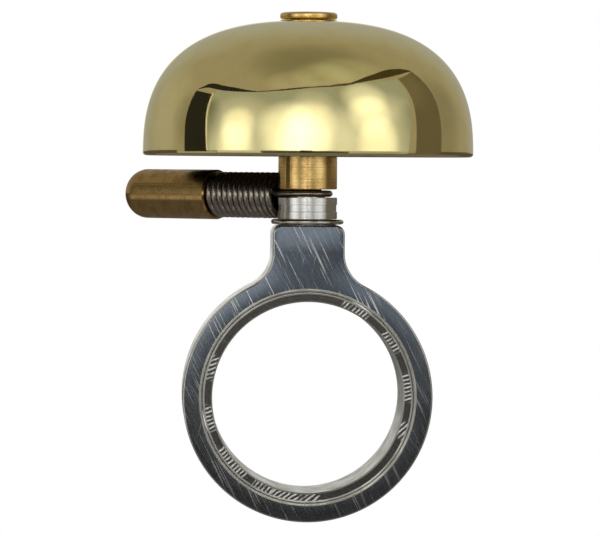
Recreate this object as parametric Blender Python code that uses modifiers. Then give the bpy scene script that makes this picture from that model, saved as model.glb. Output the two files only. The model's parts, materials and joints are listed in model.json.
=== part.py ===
"""A bicycle bell on a headset-spacer bracket, modelled as its separate pieces.

The bracket's ring slips over the fork steerer between the headset spacers. A brass post stands on the
ring's stem and carries the dome. The striker is a brass hammer on a close-wound spring, whose end loop is
held round the post's foot, so that the striker can be aimed all the way round and flicked up at the rim.

Units are metres. The origin is the centre of the steerer bore, whose axis is Y, and the post stands on +Z.
"""

import math

import bmesh
import bpy
from mathutils import Vector

# Bracket: a flat ring with a stem, cut from 10 mm plate.
BRACKET_DEPTH = 0.0100
RING_RADIUS = 0.01688
BORE_RADIUS = 0.0143
STEM_WIDTH = 0.00966
STEM_TOP = 0.02325
STEM_CORNER_RADIUS = 0.0012
STEM_FILLET_RADIUS = 0.0050
BRACKET_CHAMFER = 0.0003
BOLT_HOLE_RADIUS = 0.00215
COUNTERBORE_RADIUS = 0.0038
COUNTERBORE_TOP = 0.0179

# Reducer ring: turns the 1 1/8 inch bore into a 1 inch bore.
REDUCER_RADIUS = 0.0142
REDUCER_BORE_RADIUS = 0.0129
REDUCER_OUTER_CHAMFER = 0.00025
REDUCER_INNER_CHAMFER = 0.00018

# Stack on the stem: washer, collar, spring loop, post.
PLAY = 0.00005
WASHER_RADIUS = 0.00495
WASHER_THICKNESS = 0.00068
COLLAR_RADIUS = 0.00405
COLLAR_TOP = 0.02695
COLLAR_SPIGOT_RADIUS = 0.0024
GROOVE_DEPTH = 0.0001
POST_RADIUS = 0.00402
POST_FOOT = 0.02805
TAPPED_HOLE_RADIUS = 0.0021
LOWER_HOLE_DEPTH = 0.0085
UPPER_HOLE_DEPTH = 0.0070

# Dome: both faces follow a superellipse, which is fuller at the shoulder than an ellipse.
DOME_RADIUS = 0.0225
DOME_HEIGHT = 0.0185
DOME_WALL = 0.0016
DOME_FULLNESS = 2.6
RIM_HEIGHT = 0.0325
RIM_ROUND = 0.0005
RIM_INNER_ROUND = 0.0003
DOME_HOLE_RADIUS = 0.0022
SEAT_RADIUS = 0.0043
CROWN_WASHER_THICKNESS = 0.00078

# Fasteners: M4, with hexagon sockets.
SHANK_RADIUS = 0.0020
SOCKET_WIDTH = 0.0025
CAP_RADIUS = 0.0039
CAP_HEIGHT = 0.00095
CAP_ROUND = 0.0004
CAP_SCREW_LENGTH = 0.0080
BOLT_HEAD_RADIUS = 0.0035
BOLT_HEAD_HEIGHT = 0.0026
BOLT_HEAD_BOTTOM = 0.01435
BOLT_LENGTH = 0.0180
LOCK_WASHER_THICKNESS = 0.00085
LOCK_WASHER_SPLIT = 0.0006

# Striker: distances run along its axis, outwards from the post. The coil's axis passes beside the post's,
# because the wire leaves the loop on one side.
STRIKER_ANGLE = math.radians(180 - 39.5)
STRIKER_OFFSET = -0.0008
STRIKER_HEIGHT = 0.02715
WIRE_RADIUS = 0.000445
COIL_RADIUS = 0.00274
COIL_PITCH = 0.00093
COIL_START = 0.0044
LOOP_RADIUS = 0.0030
LOOP_HEIGHT = 0.02746
LOOP_FROM = -50
LOOP_TO = -282
LEAD_ANGLE = 12
LEAD_LENGTH = 0.0027
LEAD_EASE = 0.0006
FIRST_TURN_ANGLE = 22
TURN_EASE = 0.0004
HAMMER_RADIUS = 0.00346
HAMMER_NOSE = 0.00315
HAMMER_SHOULDER = 0.0161
HAMMER_TIP = 0.0317
HAMMER_CHAMFER = 0.0002
SPIGOT_RADIUS = 0.00215
SPIGOT_START = 0.0121
FLEX_PIVOT = 0.0084

COARSE_STEPS = 32
FINE_STEPS = 56
BORE_STEPS = 80
SHARP_EDGE = math.radians(32)


# ---------------------------------------------------------------------------------------------- helpers


def new_collection(name):
    collection = bpy.data.collections.new(name)
    bpy.context.scene.collection.children.link(collection)
    return collection


def material(name, color, roughness, metallic=1.0):
    made = bpy.data.materials.new(name)
    made.use_nodes = True
    shader = made.node_tree.nodes["Principled BSDF"]
    shader.inputs["Base Color"].default_value = (*color, 1.0)
    shader.inputs["Roughness"].default_value = roughness
    shader.inputs["Metallic"].default_value = metallic
    return made


def arc(centre_x, centre_y, radius, start, end, steps):
    """Points on an arc from one angle to another, both in degrees, ends included."""
    points = []
    for step in range(steps + 1):
        angle = math.radians(start + (end - start) * step / steps)
        points.append((centre_x + radius * math.cos(angle), centre_y + radius * math.sin(angle)))
    return points


def profile_mesh(name, profile, closed):
    """A wire of (radius, height) points in the XZ plane, for a Screw modifier to turn about Z."""
    mesh = bpy.data.meshes.new(name)
    edges = [(i, i + 1) for i in range(len(profile) - 1)]
    if closed:
        edges.append((len(profile) - 1, 0))
    mesh.from_pydata([(radius, 0.0, height) for radius, height in profile], edges, [])
    return mesh


def turned(name, profile, group, steps=COARSE_STEPS, closed=False):
    """A turned solid. The profile runs down the outer side, and a closed one then comes up the inner side."""
    obj = bpy.data.objects.new(name, profile_mesh(name, profile, closed))
    group.objects.link(obj)
    screw = obj.modifiers.new("turn", "SCREW")
    screw.axis = "Z"
    screw.angle = math.radians(360)
    screw.steps = steps
    screw.render_steps = steps
    screw.use_merge_vertices = True
    screw.merge_threshold = 0.00001
    screw.use_smooth_shade = True
    return obj


def as_cutter(obj):
    obj.hide_render = True
    obj.display_type = "WIRE"
    return obj


def prism_cutter(name, radius, bottom, top, sides):
    """A cylinder or a hexagon about Z, between two heights."""
    mesh = bpy.data.meshes.new(name)
    shape = bmesh.new()
    bmesh.ops.create_cone(
        shape, cap_ends=True, segments=sides, radius1=radius, radius2=radius, depth=top - bottom
    )
    shape.to_mesh(mesh)
    shape.free()
    obj = bpy.data.objects.new(name, mesh)
    obj.location.z = (bottom + top) / 2
    cutters.objects.link(obj)
    return as_cutter(obj)


def box_cutter(name, size, centre):
    mesh = bpy.data.meshes.new(name)
    shape = bmesh.new()
    bmesh.ops.create_cube(shape, size=1.0)
    bmesh.ops.scale(shape, vec=size, verts=shape.verts)
    shape.to_mesh(mesh)
    shape.free()
    obj = bpy.data.objects.new(name, mesh)
    obj.location = centre
    cutters.objects.link(obj)
    return as_cutter(obj)


def cut(obj, cutter):
    boolean = obj.modifiers.new(cutter.name, "BOOLEAN")
    boolean.operation = "DIFFERENCE"
    boolean.solver = "EXACT"
    boolean.object = cutter


def settle(obj, finish):
    """Applies the modifiers, then gives the piece its material and smooth shading between sharp edges."""
    bpy.context.view_layer.update()
    graph = bpy.context.evaluated_depsgraph_get()
    mesh = bpy.data.meshes.new_from_object(obj.evaluated_get(graph))
    obj.modifiers.clear()
    obj.data = mesh
    mesh.name = obj.name
    mesh.materials.clear()
    mesh.materials.append(finish)
    mesh.shade_smooth()
    mesh.set_sharp_from_angle(angle=SHARP_EDGE)
    return obj


def striker_point(along, side, height):
    """World position from the distance away from the post along the striker, across it, and in height."""
    away = Vector((math.cos(STRIKER_ANGLE), math.sin(STRIKER_ANGLE), 0.0))
    across = Vector((0.0, 0.0, 1.0)).cross(away)
    return away * along + across * side + Vector((0.0, 0.0, height))


# ---------------------------------------------------------------------------------------------- bracket


def bracket_outline():
    """The ring and stem seen along the bore, anticlockwise from the right side of the stem's root."""
    half = STEM_WIDTH / 2
    fillet_x = half + STEM_FILLET_RADIUS
    reach = RING_RADIUS + STEM_FILLET_RADIUS
    fillet_y = math.sqrt(reach**2 - fillet_x**2)
    lean = math.degrees(math.atan2(fillet_y, fillet_x))
    corner_x = half - STEM_CORNER_RADIUS
    corner_y = STEM_TOP - STEM_CORNER_RADIUS
    points = arc(fillet_x, fillet_y, STEM_FILLET_RADIUS, 180 + lean, 180, 8)
    points += arc(corner_x, corner_y, STEM_CORNER_RADIUS, 0, 90, 5)
    points += arc(-corner_x, corner_y, STEM_CORNER_RADIUS, 90, 180, 5)
    points += arc(-fillet_x, fillet_y, STEM_FILLET_RADIUS, 0, -lean, 8)
    points += arc(0, 0, RING_RADIUS, 180 - lean, 360 + lean, 72)[1:-1]
    return points


def flat_plate(name, outlines, thickness, group):
    """A plate in the XZ plane, centred on Y, as a mesh with its caps welded to its sides."""
    curve = bpy.data.curves.new(name, "CURVE")
    curve.dimensions = "2D"
    curve.fill_mode = "BOTH"
    curve.extrude = thickness / 2
    for outline in outlines:
        spline = curve.splines.new("POLY")
        spline.points.add(len(outline) - 1)
        for point, (x, y) in zip(spline.points, outline):
            point.co = (x, y, 0.0, 1.0)
        spline.use_cyclic_u = True
    guide = bpy.data.objects.new(name + "_outline", curve)
    guide.rotation_euler.x = math.radians(90)
    group.objects.link(guide)
    bpy.context.view_layer.update()
    graph = bpy.context.evaluated_depsgraph_get()
    mesh = bpy.data.meshes.new_from_object(guide.evaluated_get(graph))
    obj = bpy.data.objects.new(name, mesh)
    obj.matrix_world = guide.matrix_world.copy()
    group.objects.link(obj)
    bpy.data.objects.remove(guide)
    shape = bmesh.new()
    shape.from_mesh(mesh)
    bmesh.ops.remove_doubles(shape, verts=shape.verts, dist=0.000001)
    shape.to_mesh(mesh)
    shape.free()
    return obj


def make_bracket():
    bore = arc(0, 0, BORE_RADIUS, 0, 360, BORE_STEPS)[:-1]
    obj = flat_plate("bracket", [bracket_outline(), bore], BRACKET_DEPTH, parts)
    edges = obj.modifiers.new("edges", "BEVEL")
    edges.width = BRACKET_CHAMFER
    edges.segments = 1
    edges.limit_method = "ANGLE"
    edges.angle_limit = math.radians(60)
    cut(obj, prism_cutter("bolt_hole", BOLT_HOLE_RADIUS, 0.010, 0.030, COARSE_STEPS))
    cut(obj, prism_cutter("counterbore", COUNTERBORE_RADIUS, 0.010, COUNTERBORE_TOP, COARSE_STEPS))
    return settle(obj, material("anodised_aluminium", (0.16, 0.18, 0.21), 0.35))


def make_reducer():
    half = BRACKET_DEPTH / 2
    outer = REDUCER_OUTER_CHAMFER
    inner = REDUCER_INNER_CHAMFER
    profile = [
        (REDUCER_RADIUS - outer, half),
        (REDUCER_RADIUS, half - outer),
        (REDUCER_RADIUS, outer - half),
        (REDUCER_RADIUS - outer, -half),
        (REDUCER_BORE_RADIUS + inner, -half),
        (REDUCER_BORE_RADIUS, inner - half),
        (REDUCER_BORE_RADIUS, half - inner),
        (REDUCER_BORE_RADIUS + inner, half),
    ]
    obj = turned("reducer_ring", profile, parts, BORE_STEPS, closed=True)
    obj.rotation_euler.x = math.radians(90)
    return settle(obj, material("sawn_aluminium", (0.12, 0.115, 0.11), 0.4))


# ------------------------------------------------------------------------------------ stack on the stem


def make_stem_washer():
    bottom = STEM_TOP + PLAY
    top = bottom + WASHER_THICKNESS
    rounding = WASHER_THICKNESS / 2
    edge = arc(WASHER_RADIUS - rounding, bottom + rounding, rounding, 90, -90, 6)
    profile = edge + [(BOLT_HOLE_RADIUS, bottom), (BOLT_HOLE_RADIUS, top)]
    obj = turned("stem_washer", profile, parts, closed=True)
    return settle(obj, material("washer_steel", (0.55, 0.52, 0.48), 0.3))


def make_collar():
    """A plain collar with a shallow groove round its middle and a spigot that centres the spring's loop."""
    bottom = STEM_TOP + WASHER_THICKNESS + 2 * PLAY
    third = (COLLAR_TOP - bottom) / 3
    spigot_top = POST_FOOT - 4 * PLAY
    profile = [
        (COLLAR_SPIGOT_RADIUS, spigot_top),
        (COLLAR_SPIGOT_RADIUS, COLLAR_TOP),
        (COLLAR_RADIUS, COLLAR_TOP),
        (COLLAR_RADIUS, COLLAR_TOP - third),
        (COLLAR_RADIUS - GROOVE_DEPTH, COLLAR_TOP - third - GROOVE_DEPTH),
        (COLLAR_RADIUS - GROOVE_DEPTH, bottom + third + GROOVE_DEPTH),
        (COLLAR_RADIUS, bottom + third),
        (COLLAR_RADIUS, bottom),
        (BOLT_HOLE_RADIUS, bottom),
        (BOLT_HOLE_RADIUS, spigot_top),
    ]
    obj = turned("collar", profile, parts, closed=True)
    return settle(obj, material("turned_aluminium", (0.72, 0.72, 0.71), 0.22))


def seat_height():
    """The flat seat inside the crown, where the dome's inner face is as wide as the seat."""
    drop = 1 - (SEAT_RADIUS / (DOME_RADIUS - DOME_WALL)) ** DOME_FULLNESS
    return RIM_HEIGHT + (DOME_HEIGHT - DOME_WALL) * drop ** (1 / DOME_FULLNESS)


def post_top():
    return seat_height() - CROWN_WASHER_THICKNESS - 2 * PLAY


def make_post():
    top = post_top()
    profile = [
        (TAPPED_HOLE_RADIUS, top),
        (POST_RADIUS, top),
        (POST_RADIUS, POST_FOOT),
        (TAPPED_HOLE_RADIUS, POST_FOOT),
        (TAPPED_HOLE_RADIUS, POST_FOOT + LOWER_HOLE_DEPTH),
        (0.0, POST_FOOT + LOWER_HOLE_DEPTH),
    ]
    blind_end = [(0.0, top - UPPER_HOLE_DEPTH), (TAPPED_HOLE_RADIUS, top - UPPER_HOLE_DEPTH)]
    obj = turned("post", blind_end + profile, parts)
    return settle(obj, material("post_brass", (0.50, 0.33, 0.10), 0.28))


def make_mounting_bolt():
    """Head down in the ring's counterbore, shank up through the stack into the post's foot."""
    head_top = BOLT_HEAD_BOTTOM + BOLT_HEAD_HEIGHT
    profile = [
        (0.0, head_top + BOLT_LENGTH),
        (SHANK_RADIUS, head_top + BOLT_LENGTH),
        (SHANK_RADIUS, head_top),
        (BOLT_HEAD_RADIUS, head_top),
        (BOLT_HEAD_RADIUS, BOLT_HEAD_BOTTOM),
        (0.0, BOLT_HEAD_BOTTOM),
    ]
    obj = turned("mounting_bolt", profile, parts)
    socket = prism_cutter(
        "bolt_socket",
        SOCKET_WIDTH / math.sqrt(3),
        BOLT_HEAD_BOTTOM - BOLT_HEAD_HEIGHT,
        BOLT_HEAD_BOTTOM + 0.6 * BOLT_HEAD_HEIGHT,
        6,
    )
    cut(obj, socket)
    return settle(obj, material("bolt_steel", (0.32, 0.32, 0.33), 0.35))


def make_lock_washer():
    """A split ring between the bolt's head and the roof of the counterbore."""
    bottom = BOLT_HEAD_BOTTOM + BOLT_HEAD_HEIGHT + PLAY
    top = bottom + LOCK_WASHER_THICKNESS
    profile = [
        (BOLT_HEAD_RADIUS, top),
        (BOLT_HEAD_RADIUS, bottom),
        (BOLT_HOLE_RADIUS, bottom),
        (BOLT_HOLE_RADIUS, top),
    ]
    obj = turned("bolt_lock_washer", profile, parts, closed=True)
    size = (2 * BOLT_HEAD_RADIUS, LOCK_WASHER_SPLIT, 4 * LOCK_WASHER_THICKNESS)
    cut(obj, box_cutter("washer_split", size, (BOLT_HEAD_RADIUS, 0.0, (bottom + top) / 2)))
    return settle(obj, material("spring_washer_steel", (0.40, 0.40, 0.41), 0.4))


# ------------------------------------------------------------------------------------------------- dome


def dome_curve(radius, height, start, end, steps):
    """Points on the superellipse from one angle off the crown to another, in degrees."""
    power = 2 / DOME_FULLNESS
    points = []
    for step in range(steps + 1):
        angle = math.radians(start + (end - start) * step / steps)
        across = radius * math.sin(angle) ** power
        points.append((across, RIM_HEIGHT + height * math.cos(angle) ** power))
    return points


def crown_angle(width, radius):
    """The angle off the crown at which the superellipse is this wide, in degrees."""
    return math.degrees(math.asin((width / radius) ** (DOME_FULLNESS / 2)))


def rim_angle(height, rise):
    """The angle off the crown at which the superellipse is this far above the rim, in degrees."""
    return math.degrees(math.acos((rise / height) ** (DOME_FULLNESS / 2)))


def make_dome():
    inner_radius = DOME_RADIUS - DOME_WALL
    inner_height = DOME_HEIGHT - DOME_WALL
    from_hole = crown_angle(DOME_HOLE_RADIUS, DOME_RADIUS)
    to_seat = crown_angle(SEAT_RADIUS, inner_radius)
    outer = dome_curve(DOME_RADIUS, DOME_HEIGHT, from_hole, rim_angle(DOME_HEIGHT, RIM_ROUND), 13)
    rim = arc(DOME_RADIUS - RIM_ROUND, RIM_HEIGHT + RIM_ROUND, RIM_ROUND, 0, -90, 3)[1:]
    lip = arc(
        inner_radius + RIM_INNER_ROUND, RIM_HEIGHT + RIM_INNER_ROUND, RIM_INNER_ROUND, 270, 180, 2
    )[:-1]
    from_lip = rim_angle(inner_height, RIM_INNER_ROUND)
    inner = dome_curve(inner_radius, inner_height, from_lip, to_seat, 10)
    inner.append((DOME_HOLE_RADIUS, seat_height()))
    obj = turned("bell_dome", outer + rim + lip + inner, parts, FINE_STEPS, closed=True)
    return settle(obj, material("polished_brass", (0.80, 0.68, 0.36), 0.05))


def make_crown_washer():
    bottom = post_top() + PLAY
    top = bottom + CROWN_WASHER_THICKNESS
    profile = [
        (POST_RADIUS, top),
        (POST_RADIUS, bottom),
        (DOME_HOLE_RADIUS, bottom),
        (DOME_HOLE_RADIUS, top),
    ]
    obj = turned("crown_washer", profile, parts, closed=True)
    return settle(obj, material("nylon", (0.75, 0.74, 0.70), 0.5, metallic=0.0))


def make_dome_screw():
    """A thin round cap on an M4 shank, which clamps the dome on the post."""
    bottom = RIM_HEIGHT + DOME_HEIGHT + PLAY
    top = bottom + CAP_HEIGHT
    crown = arc(CAP_RADIUS - CAP_ROUND, top - CAP_ROUND, CAP_ROUND, 90, 0, 4)
    foot = arc(CAP_RADIUS - CAP_ROUND, bottom + CAP_ROUND, CAP_ROUND, 0, -90, 4)
    shank = [
        (SHANK_RADIUS, bottom),
        (SHANK_RADIUS, bottom - CAP_SCREW_LENGTH),
        (0.0, bottom - CAP_SCREW_LENGTH),
    ]
    obj = turned("dome_screw", [(0.0, top)] + crown + foot + shank, parts)
    socket = prism_cutter(
        "cap_socket", SOCKET_WIDTH / math.sqrt(3), top - 1.8 * CAP_HEIGHT, top + CAP_HEIGHT, 6
    )
    cut(obj, socket)
    return settle(obj, material("cap_brass", (0.48, 0.31, 0.09), 0.3))


# ---------------------------------------------------------------------------------------------- striker


def coil_point(along, angle):
    side = STRIKER_OFFSET + COIL_RADIUS * math.cos(angle)
    return Vector((along, side, COIL_RADIUS * math.sin(angle)))


def spring_path():
    """The wire's centre line from its free end: loop round the post, bend, then the close-wound coil.

    Each point is (along, side, up), from where the striker's axis meets the post's axis.
    """
    lift = LOOP_HEIGHT - STRIKER_HEIGHT
    path = [(x, y, lift) for x, y in arc(0, 0, LOOP_RADIUS, LOOP_FROM, LOOP_TO, 15)]
    leaving = math.radians(LEAD_ANGLE)
    first_turn = math.radians(FIRST_TURN_ANGLE)
    straight = Vector((math.cos(leaving), -math.sin(leaving), 0.0))
    climbing = Vector((0.0, -math.sin(first_turn), math.cos(first_turn)))
    bend_from = Vector(path[-1]) + straight * LEAD_LENGTH
    bend_to = coil_point(COIL_START, first_turn)
    control_from = bend_from + straight * LEAD_EASE
    control_to = bend_to - climbing * TURN_EASE
    for step in range(6):
        s = step / 6
        point = (
            bend_from * (1 - s) ** 3
            + control_from * 3 * s * (1 - s) ** 2
            + control_to * 3 * s**2 * (1 - s)
            + bend_to * s**3
        )
        path.append(tuple(point))
    coil_end = HAMMER_SHOULDER - WIRE_RADIUS - PLAY
    turn_points = 10
    count = round((coil_end - COIL_START) / COIL_PITCH * turn_points)
    for step in range(count + 1):
        angle = first_turn + 2 * math.pi * step / turn_points
        path.append(tuple(coil_point(COIL_START + COIL_PITCH * step / turn_points, angle)))
    return path


def make_striker_spring():
    """One wire. Its origin is on the post's axis, about which the whole striker turns."""
    curve = bpy.data.curves.new("striker_spring", "CURVE")
    curve.dimensions = "3D"
    curve.bevel_depth = WIRE_RADIUS
    curve.bevel_resolution = 2
    curve.use_fill_caps = True
    path = spring_path()
    spline = curve.splines.new("POLY")
    spline.points.add(len(path) - 1)
    centre = striker_point(0.0, 0.0, STRIKER_HEIGHT)
    for point, (along, side, up) in zip(spline.points, path):
        point.co = (*(striker_point(along, side, up)), 1.0)
    curve.materials.append(material("spring_steel", (0.16, 0.13, 0.11), 0.3))
    obj = bpy.data.objects.new("striker_spring", curve)
    obj.location = centre
    parts.objects.link(obj)
    return obj


def make_striker_hammer():
    """A round-nosed bar with a spigot inside the coil. Its origin is where the spring bends."""
    shoulder = HAMMER_SHOULDER - FLEX_PIVOT
    spigot = SPIGOT_START - FLEX_PIVOT
    nose_start = HAMMER_TIP - HAMMER_NOSE - FLEX_PIVOT
    stretch = HAMMER_NOSE / HAMMER_RADIUS
    nose = [(0.0, HAMMER_TIP - FLEX_PIVOT)]
    nose += [(x, nose_start + y * stretch) for x, y in arc(0, 0, HAMMER_RADIUS, 80, 0, 8)]
    profile = nose + [
        (HAMMER_RADIUS, shoulder + HAMMER_CHAMFER),
        (HAMMER_RADIUS - HAMMER_CHAMFER, shoulder),
        (SPIGOT_RADIUS, shoulder),
        (SPIGOT_RADIUS, spigot),
        (0.0, spigot),
    ]
    obj = turned("striker_hammer", profile, parts, 40)
    away = striker_point(1.0, 0.0, 0.0)
    obj.rotation_mode = "QUATERNION"
    obj.rotation_quaternion = away.to_track_quat("Z", "Y")
    obj.location = striker_point(FLEX_PIVOT, STRIKER_OFFSET, STRIKER_HEIGHT)
    return settle(obj, material("hammer_brass", (0.34, 0.22, 0.07), 0.32))


for old in list(bpy.data.objects):
    bpy.data.objects.remove(old)
parts = new_collection("bicycle_bell")
cutters = new_collection("cutters")

make_bracket()
make_reducer()
make_mounting_bolt()
make_lock_washer()
make_stem_washer()
make_collar()
make_post()
make_dome()
make_crown_washer()
make_dome_screw()
make_striker_spring()
make_striker_hammer()
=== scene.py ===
"""The looks of a bicycle bell on a headset-spacer bracket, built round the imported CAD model.

Each solid of the CAD model is replaced by a finer mesh of the same size, with its own procedural finish.
The object hangs in a light tent of staged cards, which its polished and turned metal reflects. The camera
doesn't see the cards.

Units are metres. The origin is the centre of the steerer bore, whose axis is Y. The post stands on +Z.
"""

import json
import math

import bmesh
import bpy
from mathutils import Matrix, Quaternion, Vector


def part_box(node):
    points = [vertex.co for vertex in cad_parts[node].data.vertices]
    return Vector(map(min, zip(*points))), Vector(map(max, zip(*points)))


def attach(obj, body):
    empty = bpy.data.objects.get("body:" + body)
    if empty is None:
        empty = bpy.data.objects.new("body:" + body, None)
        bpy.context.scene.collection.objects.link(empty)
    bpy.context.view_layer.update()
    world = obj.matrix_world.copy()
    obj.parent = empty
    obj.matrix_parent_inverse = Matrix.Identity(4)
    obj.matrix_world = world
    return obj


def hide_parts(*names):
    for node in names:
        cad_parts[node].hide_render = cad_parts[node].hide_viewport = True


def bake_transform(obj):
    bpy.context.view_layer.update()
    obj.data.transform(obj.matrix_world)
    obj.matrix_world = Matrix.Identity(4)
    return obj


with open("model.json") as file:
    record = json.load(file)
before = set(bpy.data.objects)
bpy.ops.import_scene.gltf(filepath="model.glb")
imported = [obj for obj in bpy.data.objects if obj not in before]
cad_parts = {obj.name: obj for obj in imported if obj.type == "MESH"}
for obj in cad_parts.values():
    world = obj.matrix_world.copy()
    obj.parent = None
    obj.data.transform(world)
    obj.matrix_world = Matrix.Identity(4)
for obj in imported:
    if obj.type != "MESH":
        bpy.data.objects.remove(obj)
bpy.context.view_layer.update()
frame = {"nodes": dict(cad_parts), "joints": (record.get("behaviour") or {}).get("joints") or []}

LOW = {}
HIGH = {}
for node_name in frame["nodes"]:
    LOW[node_name], HIGH[node_name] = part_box(node_name)
JOINTS = {joint["name"]: joint for joint in frame["joints"]}
UP = Vector((0.0, 0.0, 1.0))

# Bracket and reducer.
HALF_DEPTH = HIGH["bracket"].y
RING_RADIUS = -LOW["bracket"].z
STEM_TOP = HIGH["bracket"].z
BORE_RADIUS = 0.0143
STEM_WIDTH = 0.00966
STEM_CORNER_RADIUS = 0.0012
STEM_FILLET_RADIUS = 0.0050
EDGE_ROUND = 0.0003
BORE_CHAMFER = 0.0004
BOLT_HOLE_RADIUS = 0.00215
COUNTERBORE_RADIUS = 0.0038
COUNTERBORE_TOP = 0.0179
HOLE_CUT_FROM = 0.010
HOLE_CUT_TO = 0.030
REDUCER_RADIUS = HIGH["reducer_ring"].x
REDUCER_BORE_RADIUS = 0.0129
REDUCER_OUTER_CHAMFER = 0.00025
REDUCER_INNER_CHAMFER = 0.00018

# Stack on the stem.
WASHER_RADIUS = HIGH["stem_washer"].x
COLLAR_RADIUS = HIGH["collar"].x
COLLAR_TOP = 0.02695
COLLAR_SPIGOT_RADIUS = 0.0024
GROOVE_DEPTH = 0.0001
COLLAR_EDGE = 0.00006
POST_RADIUS = HIGH["post"].x
POST_EDGE = 0.00012
TAPPED_HOLE_RADIUS = 0.0021
LOWER_HOLE_DEPTH = 0.0085
UPPER_HOLE_DEPTH = 0.0070

# Dome.
DOME_RADIUS = HIGH["bell_dome"].x
RIM_HEIGHT = LOW["bell_dome"].z
DOME_WALL = 0.0016
DOME_FULLNESS = 2.6
RIM_ROUND = 0.0005
RIM_INNER_ROUND = 0.0003
DOME_HOLE_RADIUS = 0.0022
SEAT_RADIUS = 0.0043

# Fasteners.
SHANK_RADIUS = 0.0020
THREAD_DEPTH = 0.0002
THREAD_PITCH = 0.0007
SOCKET_WIDTH = 0.0025
CAP_RADIUS = HIGH["dome_screw"].x
CAP_HEIGHT = 0.00095
CAP_ROUND = 0.0004
BOLT_HEAD_RADIUS = HIGH["mounting_bolt"].x
BOLT_HEAD_HEIGHT = 0.0026
BOLT_HEAD_ROUND = 0.0003
BOLT_SOCKET_DEPTH = 0.6 * BOLT_HEAD_HEIGHT
CAP_SOCKET_DEPTH = 1.8 * CAP_HEIGHT
LOCK_WASHER_SPLIT = 0.0006

# Striker: distances run along its axis, outwards from the post.
STRIKER_HEIGHT = JOINTS["striker_flex"]["pos_m"][2]
AWAY = UP.cross(Vector(JOINTS["striker_flex"]["axis"])).normalized()
ACROSS = UP.cross(AWAY)
STRIKER_OFFSET = Vector(JOINTS["striker_flex"]["pos_m"]).dot(ACROSS)
WIRE_RADIUS = 0.000445
COIL_RADIUS = 0.00274
COIL_PITCH = 0.00093
COIL_START = 0.0044
LOOP_RADIUS = 0.0030
LOOP_HEIGHT = 0.02746
LOOP_FROM = -50
LOOP_TO = -282
LEAD_ANGLE = 12
LEAD_LENGTH = 0.0027
LEAD_EASE = 0.0006
FIRST_TURN_ANGLE = 22
TURN_EASE = 0.0004
HAMMER_RADIUS = 0.00346
HAMMER_NOSE = 0.00315
HAMMER_SHOULDER = 0.0161
HAMMER_TIP = 0.0317
HAMMER_CHAMFER = 0.0002
SPIGOT_RADIUS = 0.00215
SPIGOT_START = 0.0121
SPRING_CLEARANCE = 0.00005
# How bare the wire is away from the coil, where 0 is oily and 1 is bare. The bend's low value is painted
# shade, for the shadow it lies in.
LOOP_CREST = 1.0
BEND_SHADE_CREST = 0.25

# Meshes: steps in a full turn, and when an edge is sharp or two points are one.
HOLE_STEPS = 96
TURN_STEPS = 192
FINE_STEPS = 320
HEXAGON = 6
SHARP_EDGE = math.radians(32)
WELD = 0.0000002
FACES_FRONT_OR_BACK = 0.95


# ------------------------------------------------------------------------------------------ mesh helpers


def arc(centre_x, centre_y, radius, start, end, steps):
    """Points on an arc from one angle to another, both in degrees, ends included."""
    points = []
    for step in range(steps + 1):
        angle = math.radians(start + (end - start) * step / steps)
        points.append((centre_x + radius * math.cos(angle), centre_y + radius * math.sin(angle)))
    return points


def new_object(name, shape):
    """An object that holds a bmesh, with its faces pointing out and smooth between sharp edges."""
    bmesh.ops.recalc_face_normals(shape, faces=shape.faces)
    mesh = bpy.data.meshes.new(name)
    shape.to_mesh(mesh)
    shape.free()
    mesh.shade_smooth()
    mesh.set_sharp_from_angle(angle=SHARP_EDGE)
    obj = bpy.data.objects.new(name, mesh)
    bpy.context.scene.collection.objects.link(obj)
    return obj


def turned(name, profile, steps=TURN_STEPS):
    """A solid turned about Z. A profile that starts off the axis is closed back to its start."""
    shape = bmesh.new()
    points = [shape.verts.new((radius, 0.0, height)) for radius, height in profile]
    edges = [shape.edges.new(pair) for pair in zip(points, points[1:])]
    if profile[0][0] > 0.0:
        edges.append(shape.edges.new((points[-1], points[0])))
    bmesh.ops.spin(
        shape, geom=points + edges, axis=UP, cent=(0, 0, 0), angle=math.tau, steps=steps, use_merge=True
    )
    bmesh.ops.remove_doubles(shape, verts=shape.verts, dist=WELD)
    return new_object(name, shape)


def cut(obj, cutter):
    """Takes the cutter away from the object, and removes the cutter."""
    boolean = obj.modifiers.new("cut", "BOOLEAN")
    boolean.operation = "DIFFERENCE"
    boolean.solver = "EXACT"
    boolean.object = cutter
    bpy.context.view_layer.update()
    graph = bpy.context.evaluated_depsgraph_get()
    mesh = bpy.data.meshes.new_from_object(obj.evaluated_get(graph))
    obj.modifiers.clear()
    obj.data = mesh
    mesh.name = obj.name
    bpy.data.objects.remove(cutter)
    mesh.shade_smooth()
    mesh.set_sharp_from_angle(angle=SHARP_EDGE)


def cylinder_cutter(radius, bottom, top, steps=TURN_STEPS):
    return turned("cutter", [(0.0, top), (radius, top), (radius, bottom), (0.0, bottom)], steps)


def socket_cutter(bottom, top):
    """A hexagonal prism, as wide across its flats as the key."""
    return cylinder_cutter(SOCKET_WIDTH / math.sqrt(3), bottom, top, HEXAGON)


def striker_point(along, side, height):
    return AWAY * along + ACROSS * side + UP * height


def place(piece, body, slot, *nodes):
    """The piece moves with a body and stands for CAD nodes, which are hidden. The slot is not used."""
    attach(piece, body)
    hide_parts(*nodes)


# ---------------------------------------------------------------------------------------- node helpers


def new_material(name, **sockets):
    """A Principled material and its tree. Each keyword sets the shader's socket of that name."""
    made = bpy.data.materials.new(name)
    made.use_nodes = True
    shader = made.node_tree.nodes["Principled BSDF"]
    for key, value in sockets.items():
        shader.inputs[key.replace("_", " ")].default_value = value
    return made, made.node_tree, shader


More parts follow.
